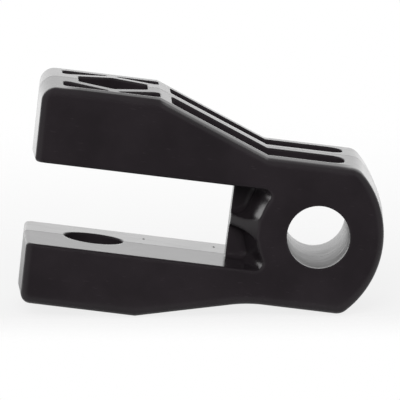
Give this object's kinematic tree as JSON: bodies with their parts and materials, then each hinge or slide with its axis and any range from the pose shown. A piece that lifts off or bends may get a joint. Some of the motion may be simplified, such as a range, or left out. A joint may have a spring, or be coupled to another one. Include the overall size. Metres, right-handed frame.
{
  "type": "rear mounting bracket",
  "caption": "One-piece moulded fork bracket with a round cross bore in its rounded end, a pin hole through both arms of the fork and ribbed weight-saving pockets.",
  "frame": {"origin": "centre of the cross bore, at mid width", "axes": "+X from the fork's open end to the rounded eye, +Y along the cross bore to the back face, +Z along the fork pin hole, up"},
  "size_m": [0.0739, 0.03, 0.0458],
  "materials": {
    "body": "black moulded nylon, semi-gloss"
  },
  "bodies": {
    "root": {"rear_bracket": "body"}
  },
  "joints": []
}
